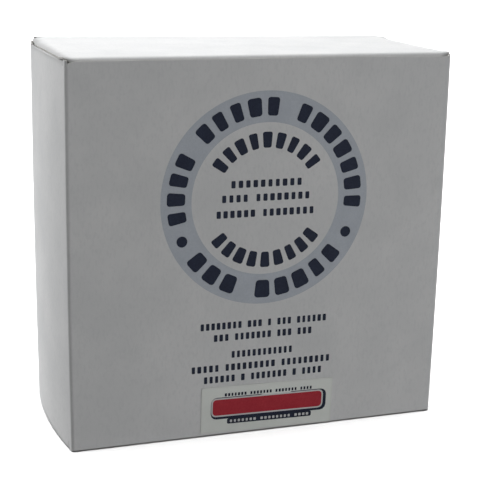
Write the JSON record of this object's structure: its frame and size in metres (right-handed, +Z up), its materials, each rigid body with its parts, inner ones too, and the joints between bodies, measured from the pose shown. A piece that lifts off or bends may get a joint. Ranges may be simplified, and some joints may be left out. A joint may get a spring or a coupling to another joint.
{
  "type": "gymnastics chalk carton",
  "caption": "Closed tuck-end paperboard carton packed with pressed gymnastics chalk blocks. The lid, bottom panel and dust flaps fold open, and a small label sits low on the front.",
  "frame": {"origin": "centre of the bounding box's footprint, at the level that the carton stands on", "axes": "+X across the width, to the right of someone who faces the front; +Y from the front panel to the back panel; +Z up"},
  "size_m": [0.1334, 0.0584, 0.127],
  "materials": {
    "white_board": "matte",
    "label_paper": "satin",
    "pressed_chalk": "matte"
  },
  "bodies": {
    "sleeve": {"front_panel": "white_board", "back_panel": "white_board", "left_side_panel": "white_board", "right_side_panel": "white_board", "glue_flap": "white_board", "front_label": "label_paper"},
    "lid": {"lid_panel": "white_board"},
    "lid_tuck": {"lid_tuck_flap": "white_board"},
    "top_left_dust": {"top_left_dust_flap": "white_board"},
    "top_right_dust": {"top_right_dust_flap": "white_board"},
    "bottom": {"bottom_panel": "white_board"},
    "bottom_tuck": {"bottom_tuck_flap": "white_board"},
    "bottom_left_dust": {"bottom_left_dust_flap": "white_board"},
    "bottom_right_dust": {"bottom_right_dust_flap": "white_board"},
    "block_lower_front_left": {"chalk_block_lower_front_left": "pressed_chalk"},
    "block_lower_front_right": {"chalk_block_lower_front_right": "pressed_chalk"},
    "block_lower_back_left": {"chalk_block_lower_back_left": "pressed_chalk"},
    "block_lower_back_right": {"chalk_block_lower_back_right": "pressed_chalk"},
    "block_upper_front_left": {"chalk_block_upper_front_left": "pressed_chalk"},
    "block_upper_front_right": {"chalk_block_upper_front_right": "pressed_chalk"},
    "block_upper_back_left": {"chalk_block_upper_back_left": "pressed_chalk"},
    "block_upper_back_right": {"chalk_block_upper_back_right": "pressed_chalk"}
  },
  "joints": [
    {"name": "lid_hinge", "type": "hinge", "parent": "sleeve", "child": "lid", "pos_m": [0, 0.02921, 0.127], "axis": [-1, 0, 0], "range_deg": [0, 200]},
    {"name": "lid_tuck_fold", "type": "hinge", "parent": "lid", "child": "lid_tuck", "pos_m": [0, -0.02794, 0.127], "axis": [-1, 0, 0], "range_deg": [0, 70]},
    {"name": "top_left_dust_fold", "type": "hinge", "parent": "sleeve", "child": "top_left_dust", "pos_m": [-0.0648, 0, 0.12615], "axis": [0, -1, 0], "range_deg": [0, 100]},
    {"name": "top_right_dust_fold", "type": "hinge", "parent": "sleeve", "child": "top_right_dust", "pos_m": [0.0648, 0, 0.12615], "axis": [0, 1, 0], "range_deg": [0, 100]},
    {"name": "bottom_hinge", "type": "hinge", "parent": "sleeve", "child": "bottom", "pos_m": [0, 0.02921, 0.0003], "axis": [1, 0, 0], "range_deg": [0, 200]},
    {"name": "bottom_tuck_fold", "type": "hinge", "parent": "bottom", "child": "bottom_tuck", "pos_m": [0, -0.02794, 0.0003], "axis": [1, 0, 0], "range_deg": [0, 70]},
    {"name": "bottom_left_dust_fold", "type": "hinge", "parent": "sleeve", "child": "bottom_left_dust", "pos_m": [-0.0667, 0, 0], "axis": [0, 1, 0], "range_deg": [0, 100]},
    {"name": "bottom_right_dust_fold", "type": "hinge", "parent": "sleeve", "child": "bottom_right_dust", "pos_m": [0.0667, 0, 0], "axis": [0, -1, 0], "range_deg": [0, 100]},
    {"name": "lower_front_left_lift", "type": "slide", "parent": "sleeve", "child": "block_lower_front_left", "axis": [0, 0, 1], "range_m": [0, 0.0012]},
    {"name": "lower_front_right_lift", "type": "slide", "parent": "sleeve", "child": "block_lower_front_right", "axis": [0, 0, 1], "range_m": [0, 0.0012]},
    {"name": "lower_back_left_lift", "type": "slide", "parent": "sleeve", "child": "block_lower_back_left", "axis": [0, 0, 1], "range_m": [0, 0.0012]},
    {"name": "lower_back_right_lift", "type": "slide", "parent": "sleeve", "child": "block_lower_back_right", "axis": [0, 0, 1], "range_m": [0, 0.0012]},
    {"name": "upper_front_left_lift", "type": "slide", "parent": "block_lower_front_left", "child": "block_upper_front_left", "axis": [0, 0, 1], "range_m": [0, 0.0012]},
    {"name": "upper_front_right_lift", "type": "slide", "parent": "block_lower_front_right", "child": "block_upper_front_right", "axis": [0, 0, 1], "range_m": [0, 0.0012]},
    {"name": "upper_back_left_lift", "type": "slide", "parent": "block_lower_back_left", "child": "block_upper_back_left", "axis": [0, 0, 1], "range_m": [0, 0.0012]},
    {"name": "upper_back_right_lift", "type": "slide", "parent": "block_lower_back_right", "child": "block_upper_back_right", "axis": [0, 0, 1], "range_m": [0, 0.0012]}
  ],
  "couplings": [
    {"joint": "lid_tuck_fold", "follows": "lid_hinge", "ratio": 0.35},
    {"joint": "top_left_dust_fold", "follows": "lid_hinge", "ratio": 0.5},
    {"joint": "top_right_dust_fold", "follows": "lid_hinge", "ratio": 0.5},
    {"joint": "bottom_tuck_fold", "follows": "bottom_hinge", "ratio": 0.35},
    {"joint": "bottom_left_dust_fold", "follows": "bottom_hinge", "ratio": 0.5},
    {"joint": "bottom_right_dust_fold", "follows": "bottom_hinge", "ratio": 0.5}
  ]
}
